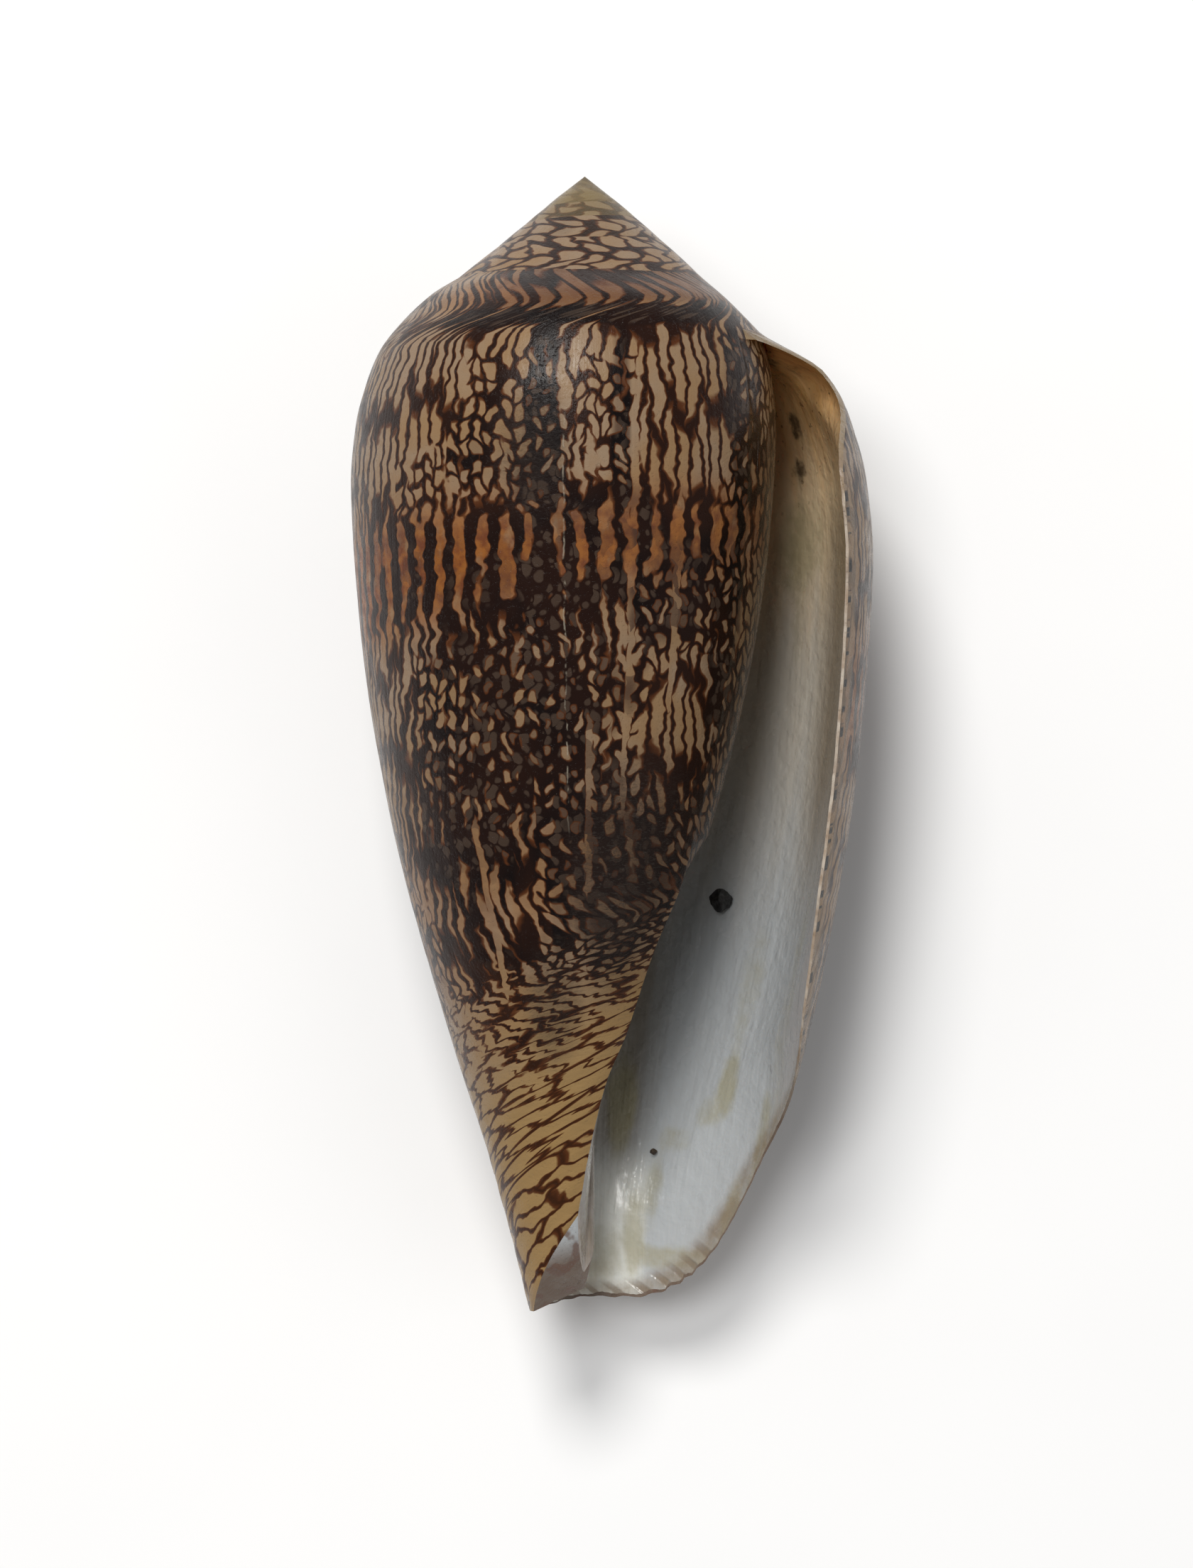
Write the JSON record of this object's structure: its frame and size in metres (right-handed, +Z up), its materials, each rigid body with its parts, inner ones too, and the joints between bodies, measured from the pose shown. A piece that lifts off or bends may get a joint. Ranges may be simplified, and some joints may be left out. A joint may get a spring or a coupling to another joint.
{
  "type": "cone snail shell",
  "caption": "Conical sea snail shell with a low spire and a long open aperture, lying on its back, with grains of sand inside the lip.",
  "frame": {"origin": "centre of the bounding box in plan, on the surface that the shell rests on", "axes": "+Z up out of the aperture, +Y along the shell towards the apex of the spire, -Y towards the siphonal end"},
  "size_m": [0.0274, 0.0598, 0.025],
  "materials": {
    "shell": "satin natural shell, brown net pattern outside and white porcelain inside",
    "sand_grain_large": "rough",
    "sand_grain_small": "rough"
  },
  "bodies": {
    "root": {"shell": "shell", "sand_grain_large": "sand_grain_large", "sand_grain_small": "sand_grain_small"}
  },
  "joints": []
}
